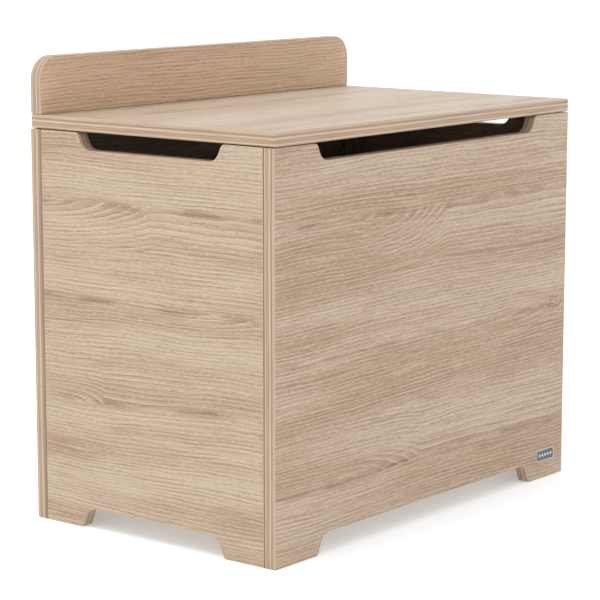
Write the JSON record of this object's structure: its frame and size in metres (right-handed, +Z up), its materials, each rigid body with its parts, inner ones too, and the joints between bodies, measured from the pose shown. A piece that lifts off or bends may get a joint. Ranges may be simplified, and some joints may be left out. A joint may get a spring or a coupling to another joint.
{
  "type": "toy chest",
  "caption": "Free-standing toy box of ash-look board with a hinged bench lid, a low rounded rail along the back of the lid, hand slots and short feet.",
  "frame": {"origin": "on the floor, at the middle of the box that bounds the closed toy box", "axes": "+X to the right along the front, +Y to the back where the hinges and the rail are, +Z up"},
  "size_m": [0.6, 0.3826, 0.5642],
  "materials": {
    "ash_board": "ash-look melamine with matching edge band, satin",
    "base_board": "thin laminated board, satin",
    "beech": "raw beech",
    "zinc_plate": "zinc plated",
    "bright_steel": "nickel plated, satin",
    "badge_metal": "brushed, blank",
    "soft_pad": "clear silicone"
  },
  "bodies": {
    "carcass": {"front_panel": "ash_board", "back_panel": "ash_board", "left_side_panel": "ash_board", "right_side_panel": "ash_board", "base_panel": "base_board", "cam_front_left_lower": "zinc_plate", "cam_front_left_upper": "zinc_plate", "cam_front_right_lower": "zinc_plate", "cam_front_right_upper": "zinc_plate", "cam_back_left_lower": "zinc_plate", "cam_back_left_upper": "zinc_plate", "cam_back_right_lower": "zinc_plate", "cam_back_right_upper": "zinc_plate", "cam_bolt_front_left_lower": "zinc_plate", "cam_bolt_front_left_upper": "zinc_plate", "cam_bolt_front_right_lower": "zinc_plate", "cam_bolt_front_right_upper": "zinc_plate", "cam_bolt_back_left_lower": "zinc_plate", "cam_bolt_back_left_upper": "zinc_plate", "cam_bolt_back_right_lower": "zinc_plate", "cam_bolt_back_right_upper": "zinc_plate", "dowel_front_left": "beech", "dowel_front_right": "beech", "dowel_back_left": "beech", "dowel_back_right": "beech", "hinge_left_body_leaf": "bright_steel", "hinge_right_body_leaf": "bright_steel", "hinge_left_pin": "bright_steel", "hinge_right_pin": "bright_steel", "hinge_left_body_screw_1": "zinc_plate", "hinge_left_body_screw_2": "zinc_plate", "hinge_right_body_screw_1": "zinc_plate", "hinge_right_body_screw_2": "zinc_plate", "stay_wall_plate": "zinc_plate", "stay_wall_screw_lower": "zinc_plate", "stay_wall_screw_upper": "zinc_plate", "stay_wall_rivet": "bright_steel", "lid_pad_left": "soft_pad", "lid_pad_right": "soft_pad", "badge_plate": "badge_metal"},
    "lid": {"lid_board": "ash_board", "lid_back_rail": "ash_board", "hinge_left_lid_leaf": "bright_steel", "hinge_right_lid_leaf": "bright_steel", "hinge_left_lid_screw_1": "zinc_plate", "hinge_left_lid_screw_2": "zinc_plate", "hinge_right_lid_screw_1": "zinc_plate", "hinge_right_lid_screw_2": "zinc_plate", "rail_screw_left": "zinc_plate", "rail_screw_middle": "zinc_plate", "rail_screw_right": "zinc_plate", "rail_dowel_left": "beech", "rail_dowel_right": "beech", "stay_lid_bracket": "zinc_plate", "stay_lid_screw_front": "zinc_plate", "stay_lid_screw_back": "zinc_plate"},
    "stay_arm": {"stay_arm": "zinc_plate", "stay_elbow_rivet": "bright_steel"},
    "stay_link": {"stay_link": "zinc_plate", "stay_lid_rivet": "bright_steel"}
  },
  "joints": [
    {"name": "lid_hinge", "type": "hinge", "parent": "carcass", "child": "lid", "pos_m": [0, 0.1885, 0.4786], "axis": [-1, 0, 0], "range_deg": [0, 90]},
    {"name": "stay_arm_pivot", "type": "hinge", "parent": "carcass", "child": "stay_arm", "pos_m": [0.281, 0.1434, 0.4166], "axis": [-1, 0, 0], "range_deg": [0, 90]},
    {"name": "stay_elbow", "type": "hinge", "parent": "stay_arm", "child": "stay_link", "pos_m": [0.2797, 0.0234, 0.4006], "axis": [-1, 0, 0], "range_deg": [-90, 0]}
  ],
  "couplings": [
    {"joint": "stay_arm_pivot", "follows": "lid_hinge", "ratio": 1},
    {"joint": "stay_elbow", "follows": "lid_hinge", "ratio": -1}
  ]
}
